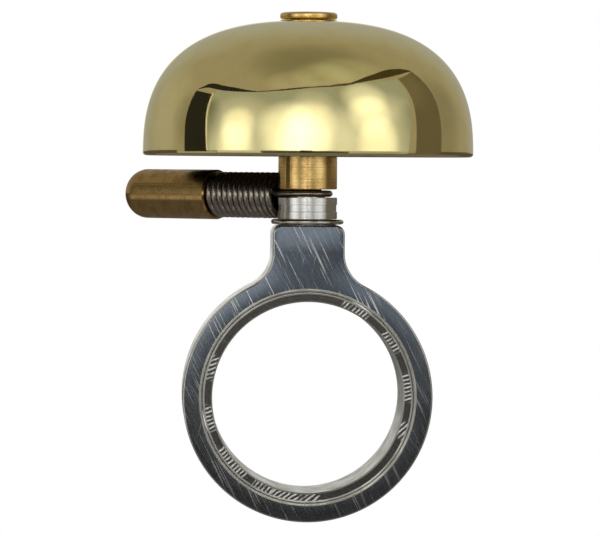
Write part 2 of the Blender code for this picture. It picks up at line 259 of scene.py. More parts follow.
def add(tree, kind, inputs=None, **settings):
    """A new node. Inputs go by name or number, and each is a value or the socket to link."""
    made = tree.nodes.new("ShaderNode" + kind)
    for key, value in settings.items():
        setattr(made, key, value)
    for key, value in (inputs or {}).items():
        if isinstance(value, bpy.types.NodeSocket):
            tree.links.new(value, made.inputs[key])
        else:
            made.inputs[key].default_value = value
    return made


def math_node(tree, operation, *values):
    return add(tree, "Math", dict(enumerate(values)), operation=operation).outputs[0]


def millimetres(tree):
    """The object's own coordinates in millimetres."""
    place_on = add(tree, "TexCoord").outputs["Object"]
    return add(tree, "VectorMath", {0: place_on, "Scale": 1000.0}, operation="SCALE").outputs[0]


def split(tree, vector):
    return add(tree, "SeparateXYZ", {0: vector}).outputs


def stretched(tree, vector, scale, turn=(0.0, 0.0, 0.0)):
    """Coordinates turned by angles in degrees and then scaled."""
    angles = [math.radians(angle) for angle in turn]
    rotated = add(tree, "VectorRotate", {0: vector, "Rotation": angles}, rotation_type="EULER_XYZ")
    return add(tree, "VectorMath", {0: rotated.outputs[0], 1: scale}, operation="MULTIPLY").outputs[0]


def noise(tree, vector, scale=1.0, detail=3.0, roughness=0.55, distortion=0.0):
    inputs = {"Scale": scale, "Detail": detail, "Roughness": roughness, "Distortion": distortion}
    return add(tree, "TexNoise", {"Vector": vector, **inputs}).outputs[0]


def noise_line(tree, value, scale=1.0, detail=3.0, roughness=0.6):
    """Noise that depends on one number, so that it makes plain bands."""
    inputs = {"W": value, "Scale": scale, "Detail": detail, "Roughness": roughness}
    return add(tree, "TexNoise", inputs, noise_dimensions="1D").outputs[0]


def fit(tree, value, low, high, to_low=0.0, to_high=1.0, smooth=True):
    """The value moved from one range to another, and kept inside it."""
    inputs = {"Value": value, "From Min": low, "From Max": high, "To Min": to_low, "To Max": to_high}
    kind = "SMOOTHSTEP" if smooth else "LINEAR"
    return add(tree, "MapRange", inputs, interpolation_type=kind).outputs[0]


def blend_colors(tree, share, first, second):
    """A colour between two, each a socket or (red, green, blue)."""
    made = add(tree, "Mix", {0: share}, data_type="RGBA")
    for key, value in ((6, first), (7, second)):
        if isinstance(value, bpy.types.NodeSocket):
            tree.links.new(value, made.inputs[key])
        else:
            made.inputs[key].default_value = (*value, 1.0)
    return made.outputs[2]


def bump(tree, height, strength, distance, normal=None):
    made = add(tree, "Bump", {"Strength": strength, "Distance": distance, "Height": height})
    if normal:
        tree.links.new(normal, made.inputs["Normal"])
    return made.outputs[0]


def link(tree, shader, **sockets):
    for key, value in sockets.items():
        tree.links.new(value, shader.inputs[key.replace("_", " ")])


# ------------------------------------------------------------------------------------------- materials

# Scales of noise are per millimetre. Bump heights are in metres.
# A quarter turn of the tangent spreads a highlight along a turned piece's axis, across its grooves.
ACROSS_THE_GROOVES = 0.25
LATHE_GROOVE_HEIGHT = 0.00003
SPECK_SCALE = 14.0


def turning_lines(tree, place_mm, axis, fineness):
    """Fine grooves round an axis, on the solid's side and on its ends, as a height from 0 to 1."""
    x, y, z = split(tree, place_mm)
    along = {"X": x, "Y": y, "Z": z}[axis]
    first, second = {"X": (y, z), "Y": (x, z), "Z": (x, y)}[axis]
    squares = [math_node(tree, "MULTIPLY", part, part) for part in (first, second)]
    radius = math_node(tree, "SQRT", math_node(tree, "ADD", *squares))
    return noise_line(tree, math_node(tree, "ADD", along, radius), fineness, 4.0)


def turned_metal(
    name, bright, dull, roughness, axis="Z", fineness=9.0, groove=0.10, patina=0.55, spread=0.6
):
    """Metal off a lathe: rings of fine grooves, and a patina that dulls it in soft patches.

    Groove is the strength of the bump, patina the scale of the patches, and spread the anisotropy.
    """
    made, tree, shader = new_material(
        name, Metallic=1.0, Anisotropic=spread, Anisotropic_Rotation=ACROSS_THE_GROOVES
    )
    place_mm = millimetres(tree)
    rings = turning_lines(tree, place_mm, axis, fineness)
    patches = fit(tree, noise(tree, place_mm, patina, 5.0, 0.6), 0.38, 0.66, 0.0, 0.7)
    specks = fit(tree, noise(tree, place_mm, SPECK_SCALE, 2.0), 0.6, 0.85, 0.0, 0.25)
    soiled = math_node(tree, "ADD", patches, specks)
    share = math_node(tree, "ADD", soiled, fit(tree, rings, 0.35, 0.7, -0.15, 0.25))
    clamped = add(tree, "Clamp", {0: share}).outputs[0]
    link(tree, shader, Base_Color=blend_colors(tree, clamped, bright, dull))
    dulled = fit(tree, clamped, 0.0, 1.0, roughness * 0.8, roughness * 1.35, smooth=False)
    link(tree, shader, Roughness=dulled, Normal=bump(tree, rings, groove, LATHE_GROOVE_HEIGHT))
    tangent = add(tree, "Tangent", direction_type="RADIAL", axis=axis)
    link(tree, shader, Tangent=tangent.outputs[0])
    return made


def polished_brass():
    """A mirror finish: faint turning lines, slight waves and a few dull touches."""
    made, tree, shader = new_material("polished_brass", Metallic=1.0)
    place_mm = millimetres(tree)
    rings = turning_lines(tree, place_mm, "Z", 2.6)
    waves = noise(tree, place_mm, 0.16, 1.0)
    touches = noise(tree, place_mm, 0.35, 4.0, 0.6)
    clean, touched = (0.90, 0.78, 0.40), (0.86, 0.73, 0.35)
    colour = blend_colors(tree, fit(tree, touches, 0.42, 0.72), clean, touched)
    rough_touches = fit(tree, touches, 0.45, 0.75, 0.03, 0.055)
    rough_rings = fit(tree, rings, 0.5, 0.75, 0.0, 0.03)
    rough = math_node(tree, "ADD", rough_touches, rough_rings)
    soft = bump(tree, waves, 0.05, 0.0004)
    link(tree, shader, Base_Color=colour, Roughness=rough, Normal=bump(tree, rings, 0.012, 0.0001, soft))
    return made


def shaded_inner_brass():
    """The dome's inside, turned but not polished, and painted dark for the shade under the dome, which the
    coil and the hammer mirror.
    """
    return turned_metal(
        "shaded_inner_brass",
        bright=(0.13, 0.09, 0.035),
        dull=(0.07, 0.045, 0.018),
        roughness=0.38,
        fineness=3.5,
        groove=0.25,
        patina=0.25,
    )


def scratch_lines(tree, place_mm, angle, spacing, length, low, high):
    """Scratches in the XZ plane that all lean one way, as a share from 0 to 1.

    The angle is in degrees, and the spacing and length in millimetres. Fewer show as low and high grow.
    """
    along = stretched(tree, place_mm, (1.0 / spacing, 0.0, 1.0 / length), (0.0, angle, 0.0))
    return fit(tree, noise(tree, along, 1.0, 2.0, 0.5), low, high)


def bracket_face():
    """A cut face between long scratches, more scratched towards the stem. Its dark ground is a painted
    reflection of dark surroundings, darker and bluer towards the stem.
    """
    made, tree, shader = new_material("bracket_face", Metallic=1.0)
    place_mm = millimetres(tree)
    lean = 26.0
    bare_metal = (0.90, 0.90, 0.90)
    # Painted reflection: the bare face is painted dark, and darker and bluer towards the stem, for the dark
    # surroundings it mirrors.
    lower_painted_reflection, upper_painted_reflection = (0.185, 0.185, 0.190), (0.090, 0.110, 0.142)
    clouded = (0.08, 0.09, 0.105)
    deep = scratch_lines(tree, place_mm, lean, 0.22, 11.0, 0.60, 0.67)
    fine = scratch_lines(tree, place_mm, lean + 3.0, 0.10, 5.0, 0.54, 0.72)
    crossing = scratch_lines(tree, place_mm, lean - 40.0, 0.30, 5.0, 0.70, 0.76)
    clouds = noise(tree, place_mm, 0.28, 4.0, 0.6)
    grain = noise(tree, place_mm, 9.0, 3.0)
    height = split(tree, place_mm)[2]
    upper = fit(tree, height, -9.0, 14.0)
    worn = fit(tree, height, 2.0, 15.0, 0.30, 1.0)
    marks = math_node(tree, "MAXIMUM", deep, math_node(tree, "MULTIPLY", crossing, 0.6))
    marks = math_node(tree, "MULTIPLY", marks, worn)
    marks = math_node(tree, "ADD", marks, math_node(tree, "MULTIPLY", fine, 0.14))
    marks = math_node(tree, "ADD", marks, fit(tree, grain, 0.45, 0.8, 0.0, 0.16))
    painted_reflection = blend_colors(tree, upper, lower_painted_reflection, upper_painted_reflection)
    painted_reflection = blend_colors(tree, fit(tree, clouds, 0.35, 0.7, 0.0, 0.5), painted_reflection, clouded)
    colour = blend_colors(tree, marks, painted_reflection, bare_metal)
    rough = fit(tree, marks, 0.0, 0.8, 0.23, 0.55, smooth=False)
    link(tree, shader, Base_Color=colour, Roughness=rough, Normal=bump(tree, marks, 0.25, 0.00004))
    return made


def bare_aluminium(name, roughness):
    """Bright machined aluminium, turned about Y, for walls and chamfers."""
    return turned_metal(
        name,
        bright=(0.78, 0.77, 0.74),
        dull=(0.66, 0.65, 0.62),
        roughness=roughness,
        axis="Y",
        fineness=3.0,
        groove=0.04,
        patina=0.4,
        spread=0.2,
    )


# Saw marks show in patches round the reducer's face, painted white where they would glint: painted glints on
# real marks. Each patch is (middle, half width, slope), all in degrees.
SAW_GLINT_PATCHES = [
    (6, 8, 14),
    (34, 7, 28),
    (62, 8, 46),
    (163, 7, 20),
    (192, 7.5, 23),
    (221, 11, 41),
    (244, 6, 50),
    (263, 14, 36),
    (341, 5, 42),
]
SAW_SPACING_MM = 0.52


def reducer_face():
    """A sawn face painted dark as a painted reflection of dark surroundings, with patches of parallel saw
    marks painted bright as painted glints.
    """
    made, tree, shader = new_material("reducer_face", Metallic=1.0)
    place_mm = millimetres(tree)
    x, y, z = split(tree, place_mm)
    round_ring = math_node(tree, "DEGREES", math_node(tree, "ARCTAN2", z, x))
    wander = fit(tree, noise(tree, place_mm, 0.9, 2.0), 0.2, 0.8, -0.22, 0.22, smooth=False)
    uneven = noise(tree, place_mm, 1.1, 3.0)
    marks = None
    for middle, half_width, slope in SAW_GLINT_PATCHES:
        turned_by = math_node(tree, "SUBTRACT", round_ring, float(middle))
        nearest = math_node(tree, "WRAP", turned_by, 180.0, -180.0)
        off_middle = math_node(tree, "ABSOLUTE", nearest)
        inside = fit(tree, off_middle, half_width - 1.0, half_width + 1.0, 1.0, 0.0)
        lean = math.radians(slope)
        side = math_node(tree, "MULTIPLY", x, -math.sin(lean) / SAW_SPACING_MM)
        rise = math_node(tree, "MULTIPLY", z, math.cos(lean) / SAW_SPACING_MM)
        count = math_node(tree, "ADD", math_node(tree, "ADD", side, rise), wander)
        saw = math_node(tree, "PINGPONG", count, 0.5)
        # Painted glint: the saw marks are painted bright only inside the patches where they glint.
        glint_patch = math_node(tree, "MULTIPLY", fit(tree, saw, 0.22, 0.36), inside)
        marks = glint_patch if marks is None else math_node(tree, "MAXIMUM", marks, glint_patch)
    marks = math_node(tree, "MULTIPLY", marks, fit(tree, uneven, 0.30, 0.50, 0.25, 1.0))
    grain = noise(tree, place_mm, 6.0, 4.0, 0.65)
    streaks = scratch_lines(tree, place_mm, 60.0, 0.10, 2.5, 0.62, 0.75)
    light = math_node(tree, "ADD", marks, math_node(tree, "MULTIPLY", streaks, 0.18))
    light = math_node(tree, "ADD", light, fit(tree, grain, 0.5, 0.8, 0.0, 0.25))
    # Painted reflection: the aluminium face is painted near black for the dark surroundings it mirrors, and
    # the saw marks white where they glint.
    dark_painted_reflection, saw_glint = (0.085, 0.08, 0.075), (1.0, 0.99, 0.97)
    colour = blend_colors(tree, light, dark_painted_reflection, saw_glint)
    rough = fit(tree, light, 0.0, 0.8, 0.34, 0.75, smooth=False)
    link(tree, shader, Base_Color=colour, Roughness=rough, Normal=bump(tree, light, 0.35, 0.00005))
    return made


def spring_wire():
    """Oiled spring steel: bare on the outside of the turns, and dark between them, partly from oil and
    partly from painted shade in the creases.
    """
    made, tree, shader = new_material("spring_wire", Metallic=1.0)
    place_mm = millimetres(tree)
    crest = add(tree, "Attribute", attribute_name="crest").outputs["Fac"]
    blots = noise(tree, place_mm, 1.6, 4.0, 0.6)
    # Painted shade: besides its oil, the wire darkens towards the inside of the coil, where the turns shade
    # each other.
    bare_and_unshaded = math_node(tree, "MULTIPLY", fit(tree, crest, 0.1, 0.95), fit(tree, blots, 0.3, 0.6, 0.7, 1.0))
    oil_and_shade, steel = (0.030, 0.024, 0.020), (0.42, 0.365, 0.32)
    colour = blend_colors(tree, bare_and_unshaded, oil_and_shade, steel)
    drawn = noise(tree, place_mm, 22.0, 2.0)
    rough = fit(tree, bare_and_unshaded, 0.0, 1.0, 0.5, 0.24, smooth=False)
    link(tree, shader, Base_Color=colour, Roughness=rough, Normal=bump(tree, drawn, 0.04, 0.00002))
    return made


def nylon():
    """Natural nylon, milky, with a faint moulded grain."""
    made, tree, shader = new_material("nylon", Subsurface_Weight=0.2, Subsurface_Scale=0.001)
    place_mm = millimetres(tree)
    clouds = noise(tree, place_mm, 0.8, 3.0)
    milky, yellowed = (0.80, 0.79, 0.74), (0.70, 0.69, 0.64)
    link(tree, shader, Base_Color=blend_colors(tree, clouds, milky, yellowed))
    link(tree, shader, Roughness=fit(tree, clouds, 0.3, 0.7, 0.42, 0.55))
    link(tree, shader, Normal=bump(tree, noise(tree, place_mm, 12.0), 0.15, 0.00003))
    return made


# --------------------------------------------------------------------------------- bracket and reducer


def bracket_outline():
    """The ring and stem seen along the bore, anticlockwise from the right side of the stem's root."""
    half = STEM_WIDTH / 2
    fillet_x = half + STEM_FILLET_RADIUS
    reach = RING_RADIUS + STEM_FILLET_RADIUS
    fillet_z = math.sqrt(reach**2 - fillet_x**2)
    lean = math.degrees(math.atan2(fillet_z, fillet_x))
    corner_x = half - STEM_CORNER_RADIUS
    corner_z = STEM_TOP - STEM_CORNER_RADIUS
    points = arc(fillet_x, fillet_z, STEM_FILLET_RADIUS, 180 + lean, 180, steps=20)
    points += arc(corner_x, corner_z, STEM_CORNER_RADIUS, 0, 90, steps=12)
    points += arc(-corner_x, corner_z, STEM_CORNER_RADIUS, 90, 180, steps=12)
    points += arc(-fillet_x, fillet_z, STEM_FILLET_RADIUS, 0, -lean, steps=20)
    points += arc(0, 0, RING_RADIUS, 180 - lean, 360 + lean, steps=240)[1:-1]
    return points


def moved_left(outline, distance):
    """A closed outline moved to the left of the way it runs."""
    moved = []
    for here in range(len(outline)):
        before = Vector(outline[here - 1])
        after = Vector(outline[(here + 1) % len(outline)])
        tangent = (after - before).normalized()
        moved.append(Vector(outline[here]) + Vector((-tangent.y, tangent.x)) * distance)
    return moved


def plate_wall(shape, outline, edge):
    """A plate's wall along an outline, from its front face to its back face.

    The edge is a list of (distance in from the outline, depth below the face).
    """
    levels = [(inset, depth - HALF_DEPTH) for inset, depth in edge]
    levels += [(inset, HALF_DEPTH - depth) for inset, depth in reversed(edge)]
    loops = []
    for inset, y in levels:
        loops.append([shape.verts.new((x, y, z)) for x, z in moved_left(outline, inset)])
    for near, far in zip(loops, loops[1:]):
        for i in range(len(near)):
            shape.faces.new((near[i - 1], near[i], far[i], far[i - 1]))
    return loops[0], loops[-1]


def make_bracket(face, wall):
    shape = bmesh.new()
    corner = arc(0, 0, EDGE_ROUND, 90, 0, steps=4)
    rounded = [(EDGE_ROUND - x, EDGE_ROUND - y) for x, y in corner]
    chamfer = [(BORE_CHAMFER, 0.0), (0.0, BORE_CHAMFER)]
    bore = arc(0, 0, BORE_RADIUS, 0, -360, FINE_STEPS)[:-1]
    outside = plate_wall(shape, bracket_outline(), rounded)
    inside = plate_wall(shape, bore, chamfer)
    for outer, inner, y in zip(outside, inside, (-1.0, 1.0)):
        edges = []
        for loop in (outer, inner):
            edges += [shape.edges.get((loop[i - 1], loop[i])) for i in range(len(loop))]
        bmesh.ops.triangle_fill(shape, use_beauty=True, edges=edges, normal=(0.0, y, 0.0))
    obj = new_object("bracket_plate", shape)
    cut(obj, cylinder_cutter(BOLT_HOLE_RADIUS, HOLE_CUT_FROM, HOLE_CUT_TO, HOLE_STEPS))
    cut(obj, cylinder_cutter(COUNTERBORE_RADIUS, HOLE_CUT_FROM, COUNTERBORE_TOP, HOLE_STEPS))
    paint_by_side(obj, face, wall)
    place(obj, "bracket", "bracket_aluminium", "bracket")


def paint_by_side(obj, face, wall):
    """The front and back faces take one material, and everything else the other."""
    obj.data.materials.clear()
    obj.data.materials.append(face)
    obj.data.materials.append(wall)
    for polygon in obj.data.polygons:
        polygon.material_index = 0 if abs(polygon.normal.y) > FACES_FRONT_OR_BACK else 1


def make_reducer(face, wall):
    half = HALF_DEPTH
    outer = REDUCER_OUTER_CHAMFER
    inner = REDUCER_INNER_CHAMFER
    profile = [
        (REDUCER_RADIUS - outer, half),
        (REDUCER_RADIUS, half - outer),
        (REDUCER_RADIUS, outer - half),
        (REDUCER_RADIUS - outer, -half),
        (REDUCER_BORE_RADIUS + inner, -half),
        (REDUCER_BORE_RADIUS, inner - half),
        (REDUCER_BORE_RADIUS, half - inner),
        (REDUCER_BORE_RADIUS + inner, half),
    ]
    obj = turned("reducer_sleeve", profile, FINE_STEPS)
    obj.data.transform(Matrix.Rotation(math.radians(90), 4, "X"))
    paint_by_side(obj, face, wall)
    place(obj, "reducer", "reducer_aluminium", "reducer_ring")


# ----------------------------------------------------------------------------------- stack on the stem


def make_stem_washer():
    low, high = LOW["stem_washer"].z, HIGH["stem_washer"].z
    rounding = (high - low) / 2
    edge = arc(WASHER_RADIUS - rounding, low + rounding, rounding, 90, -90, steps=16)
    obj = turned("stem_washer_disc", edge + [(BOLT_HOLE_RADIUS, low), (BOLT_HOLE_RADIUS, high)])
    steel = turned_metal(
        "washer_steel", bright=(0.78, 0.73, 0.67), dull=(0.55, 0.50, 0.44), roughness=0.22
    )
    obj.data.materials.append(steel)
    place(obj, "bracket", "washer_steel", "stem_washer")


def make_collar():
    bottom = LOW["collar"].z
    third = (COLLAR_TOP - bottom) / 3
    edge = COLLAR_EDGE
    groove = COLLAR_RADIUS - GROOVE_DEPTH
    profile = [
        (COLLAR_SPIGOT_RADIUS, HIGH["collar"].z),
        (COLLAR_SPIGOT_RADIUS, COLLAR_TOP),
        (COLLAR_RADIUS - edge, COLLAR_TOP),
        (COLLAR_RADIUS, COLLAR_TOP - edge),
        (COLLAR_RADIUS, COLLAR_TOP - third),
        (groove, COLLAR_TOP - third - GROOVE_DEPTH / 3),
        (groove, bottom + third + GROOVE_DEPTH / 3),
        (COLLAR_RADIUS, bottom + third),
        (COLLAR_RADIUS, bottom + edge),
        (COLLAR_RADIUS - edge, bottom),
        (BOLT_HOLE_RADIUS, bottom),
        (BOLT_HOLE_RADIUS, HIGH["collar"].z),
    ]
    obj = turned("collar_sleeve", profile)
    aluminium = turned_metal(
        "collar_aluminium",
        bright=(0.93, 0.91, 0.90),
        dull=(0.82, 0.80, 0.79),
        roughness=0.15,
        fineness=6.0,
        groove=0.05,
        patina=0.5,
        spread=0.35,
    )
    obj.data.materials.append(aluminium)
    place(obj, "bracket", "turned_aluminium", "collar")


def make_post():
    top = HIGH["post"].z
    foot = LOW["post"].z
    hole = TAPPED_HOLE_RADIUS
    profile = [
        (0.0, top - UPPER_HOLE_DEPTH),
        (hole, top - UPPER_HOLE_DEPTH),
        (hole, top - POST_EDGE),
        (hole + POST_EDGE, top),
        (POST_RADIUS - POST_EDGE, top),
        (POST_RADIUS, top - POST_EDGE),
        (POST_RADIUS, foot + POST_EDGE),
        (POST_RADIUS - POST_EDGE, foot),
        (hole + POST_EDGE, foot),
        (hole, foot + POST_EDGE),
        (hole, foot + LOWER_HOLE_DEPTH),
        (0.0, foot + LOWER_HOLE_DEPTH),
    ]
    obj = turned("post_pillar", profile)
    brass = turned_metal(
        "post_brass",
        bright=(0.85, 0.58, 0.23),
        dull=(0.58, 0.36, 0.12),
        roughness=0.13,
        fineness=7.0,
        groove=0.07,
        patina=0.5,
        spread=0.30,
    )
    obj.data.materials.append(brass)
    place(obj, "bracket", "satin_brass", "post")


def threaded_side(top, bottom):
    """The outline of a threaded shank from its top to its bottom, as V grooves."""
    points = [(SHANK_RADIUS, top)]
    turns = int((top - bottom) / THREAD_PITCH - 1)
    for turn in range(turns):
        crest = top - THREAD_PITCH * (turn + 0.5)
        points.append((SHANK_RADIUS, crest))
        points.append((SHANK_RADIUS - THREAD_DEPTH, crest - THREAD_PITCH / 2))
    end = top - THREAD_PITCH * (turns + 0.5)
    points += [(SHANK_RADIUS, end), (SHANK_RADIUS, bottom + THREAD_DEPTH)]
    points += [(SHANK_RADIUS - THREAD_DEPTH, bottom), (0.0, bottom)]
    return points


def make_mounting_bolt(steel):
    bottom = LOW["mounting_bolt"].z
    head_top = bottom + BOLT_HEAD_HEIGHT
    tip = HIGH["mounting_bolt"].z
    shank = reversed(threaded_side(tip, head_top))
    side = [(radius, head_top + tip - height) for radius, height in shank]
    rim = arc(BOLT_HEAD_RADIUS - BOLT_HEAD_ROUND, bottom + BOLT_HEAD_ROUND, BOLT_HEAD_ROUND, 0, -90, steps=6)
    profile = side + [(BOLT_HEAD_RADIUS, head_top)] + rim + [(0.0, bottom)]
    obj = turned("mounting_bolt_steel", profile)
    cut(obj, socket_cutter(bottom - BOLT_HEAD_HEIGHT, bottom + BOLT_SOCKET_DEPTH))
    obj.data.materials.append(steel)
    place(obj, "bracket", "fastener_steel", "mounting_bolt")


def make_lock_washer(steel):
    low, high = LOW["bolt_lock_washer"].z, HIGH["bolt_lock_washer"].z
    outer = [(BOLT_HEAD_RADIUS, high), (BOLT_HEAD_RADIUS, low)]
    inner = [(BOLT_HOLE_RADIUS, low), (BOLT_HOLE_RADIUS, high)]
    obj = turned("lock_washer_split", outer + inner)
    gap = bmesh.new()
    bmesh.ops.create_cube(gap, size=1.0)
    size = Vector((2 * BOLT_HEAD_RADIUS, LOCK_WASHER_SPLIT, 4 * (high - low)))
    bmesh.ops.scale(gap, vec=size, verts=gap.verts)
    bmesh.ops.translate(gap, vec=(BOLT_HEAD_RADIUS, 0.0, (low + high) / 2), verts=gap.verts)
    cut(obj, new_object("cutter", gap))
    obj.data.materials.append(steel)
    place(obj, "bracket", "fastener_steel", "bolt_lock_washer")


# ------------------------------------------------------------------------------------------------ dome


def dome_rise(width, radius):
    """The superellipse's height where it is this wide, as a share of its full height."""
    return (1 - (width / radius) ** DOME_FULLNESS) ** (1 / DOME_FULLNESS)


DOME_HEIGHT = (HIGH["bell_dome"].z - RIM_HEIGHT) / dome_rise(DOME_HOLE_RADIUS, DOME_RADIUS)


def dome_curve(radius, height, start, end, steps):
    """Points on the superellipse from one angle off the crown to another, in degrees."""
    power = 2 / DOME_FULLNESS
    points = []
    for step in range(steps + 1):
        angle = math.radians(start + (end - start) * step / steps)
        across = radius * math.sin(angle) ** power
        points.append((across, RIM_HEIGHT + height * math.cos(angle) ** power))
    return points


def crown_angle(width, radius):
    """The angle off the crown at which the superellipse is this wide, in degrees."""
    return math.degrees(math.asin((width / radius) ** (DOME_FULLNESS / 2)))


def rim_angle(height, rise):
    """The angle off the crown at which the superellipse is this far above the rim, in degrees."""
    return math.degrees(math.acos((rise / height) ** (DOME_FULLNESS / 2)))


def make_dome(polished, dull):
    inner_radius = DOME_RADIUS - DOME_WALL
    inner_height = DOME_HEIGHT - DOME_WALL
    seat = RIM_HEIGHT + inner_height * dome_rise(SEAT_RADIUS, inner_radius)
    from_hole = crown_angle(DOME_HOLE_RADIUS, DOME_RADIUS)
    to_rim = rim_angle(DOME_HEIGHT, RIM_ROUND)
    outer = dome_curve(DOME_RADIUS, DOME_HEIGHT, from_hole, to_rim, steps=120)
    rim = arc(DOME_RADIUS - RIM_ROUND, RIM_HEIGHT + RIM_ROUND, RIM_ROUND, 0, -90, steps=12)[1:]
    lip_radius = inner_radius + RIM_INNER_ROUND
    lip = arc(lip_radius, RIM_HEIGHT + RIM_INNER_ROUND, RIM_INNER_ROUND, 270, 180, steps=8)[:-1]
    from_lip = rim_angle(inner_height, RIM_INNER_ROUND)
    to_seat = crown_angle(SEAT_RADIUS, inner_radius)
    inner = dome_curve(inner_radius, inner_height, from_lip, to_seat, steps=80)
    inner.append((DOME_HOLE_RADIUS, seat))
    obj = turned("dome_shell", outer + rim + lip + inner, FINE_STEPS)
    obj.data.materials.append(polished)
    # The inside faces take the brass that is painted dark for the shade under the dome.
    obj.data.materials.append(dull)
    for polygon in obj.data.polygons:
        outward = polygon.normal.dot(polygon.center - Vector((0.0, 0.0, RIM_HEIGHT))) > 0.0
        polygon.material_index = 0 if outward else 1
    place(obj, "bracket", "polished_brass", "bell_dome")


def make_crown_washer():
    low, high = LOW["crown_washer"].z, HIGH["crown_washer"].z
    edge = (high - low) / 5
    profile = arc(POST_RADIUS - edge, high - edge, edge, 90, 0, steps=4)
    profile += arc(POST_RADIUS - edge, low + edge, edge, 0, -90, steps=4)
    profile += [(DOME_HOLE_RADIUS, low), (DOME_HOLE_RADIUS, high)]
    obj = turned("crown_washer_ring", profile)
    obj.data.materials.append(nylon())
    place(obj, "bracket", "nylon", "crown_washer")


def make_dome_screw():
    top = HIGH["dome_screw"].z
    bottom = top - CAP_HEIGHT
    crown = arc(CAP_RADIUS - CAP_ROUND, top - CAP_ROUND, CAP_ROUND, 90, 0, steps=10)
    foot = arc(CAP_RADIUS - CAP_ROUND, bottom + CAP_ROUND, CAP_ROUND, 0, -90, steps=10)
    shank = threaded_side(bottom, LOW["dome_screw"].z)
    obj = turned("dome_cap_screw", [(0.0, top)] + crown + foot + shank)
    cut(obj, socket_cutter(top - CAP_SOCKET_DEPTH, top + CAP_HEIGHT))
    brass = turned_metal(
        "cap_brass",
        bright=(0.96, 0.71, 0.32),
        dull=(0.86, 0.58, 0.22),
        roughness=0.24,
        fineness=3.0,
        groove=0.04,
        patina=0.3,
        spread=0.3,
    )
    obj.data.materials.append(brass)
    place(obj, "bracket", "aged_brass", "dome_screw")


# --------------------------------------------------------------------------------------------- striker


def coil_point(along, angle):
    side = STRIKER_OFFSET + COIL_RADIUS * math.cos(angle)
    return Vector((along, side, COIL_RADIUS * math.sin(angle)))


def spring_path():
    """The wire's centre line from its free end: loop round the post, bend, then the close-wound coil.

    Each point is (along, side, up), from where the striker's axis meets the post's axis.
    """
    lift = LOOP_HEIGHT - STRIKER_HEIGHT
    path = [(x, y, lift) for x, y in arc(0, 0, LOOP_RADIUS, LOOP_FROM, LOOP_TO, steps=60)]
    leaving = math.radians(LEAD_ANGLE)
    first_turn = math.radians(FIRST_TURN_ANGLE)
    straight = Vector((math.cos(leaving), -math.sin(leaving), 0.0))
    climbing = Vector((0.0, -math.sin(first_turn), math.cos(first_turn)))
    bend_from = Vector(path[-1]) + straight * LEAD_LENGTH
    bend_to = coil_point(COIL_START, first_turn)
    control_from = bend_from + straight * LEAD_EASE
    control_to = bend_to - climbing * TURN_EASE
    bend_steps = 16
    for step in range(bend_steps):
        s = step / bend_steps
        point = (
            bend_from * (1 - s) ** 3
            + control_from * 3 * s * (1 - s) ** 2
            + control_to * 3 * s**2 * (1 - s)
            + bend_to * s**3
        )
        path.append(tuple(point))
    coil_end = HAMMER_SHOULDER - WIRE_RADIUS - SPRING_CLEARANCE
    turn_points = 36
    count = round((coil_end - COIL_START) / COIL_PITCH * turn_points)
    for step in range(count + 1):
        angle = first_turn + 2 * math.pi * step / turn_points
        along = COIL_START + COIL_PITCH * step / turn_points
        path.append(tuple(coil_point(along, angle)))
    return path


def make_spring():
    curve = bpy.data.curves.new("spring_line", "CURVE")
    curve.dimensions = "3D"
    curve.bevel_depth = WIRE_RADIUS
    curve.bevel_resolution = 4
    curve.use_fill_caps = True
    path = spring_path()
    spline = curve.splines.new("POLY")
    spline.points.add(len(path) - 1)
    for point, (along, side, up) in zip(spline.points, path):
        point.co = (*striker_point(along, side, STRIKER_HEIGHT + up), 1.0)
    guide = bpy.data.objects.new("spring_line", curve)
    bpy.context.scene.collection.objects.link(guide)
    bpy.context.view_layer.update()
    graph = bpy.context.evaluated_depsgraph_get()
    mesh = bpy.data.meshes.new_from_object(guide.evaluated_get(graph))
    bpy.data.objects.remove(guide)
    shape = bmesh.new()
    shape.from_mesh(mesh)
    bmesh.ops.remove_doubles(shape, verts=shape.verts, dist=WELD)
    obj = new_object("striker_coil", shape)
    mark_crest(obj.data)
    obj.data.materials.clear()
    obj.data.materials.append(spring_wire())
    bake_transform(obj)
    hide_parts("striker_spring")


def mark_crest(mesh):
    """Stores how far out of the coil each point lies: 0 at the wire's inside, 1 at its outside.

    The loop and the bend, which aren't on the coil, get fixed values.
    """
    crest = mesh.attributes.new("crest", "FLOAT", "POINT")
    for vertex, stored in zip(mesh.vertices, crest.data):
        side = vertex.co.dot(ACROSS) - STRIKER_OFFSET
        up = vertex.co.z - STRIKER_HEIGHT
        along = vertex.co.dot(AWAY)
        out = (math.hypot(side, up) - COIL_RADIUS) / WIRE_RADIUS
        if along > COIL_START:
            stored.value = (out + 1) / 2
        elif along < LOOP_RADIUS - WIRE_RADIUS:
            stored.value = LOOP_CREST
        else:
            # Painted shade: the bend is darkened for the shadow it lies in.
            stored.value = BEND_SHADE_CREST


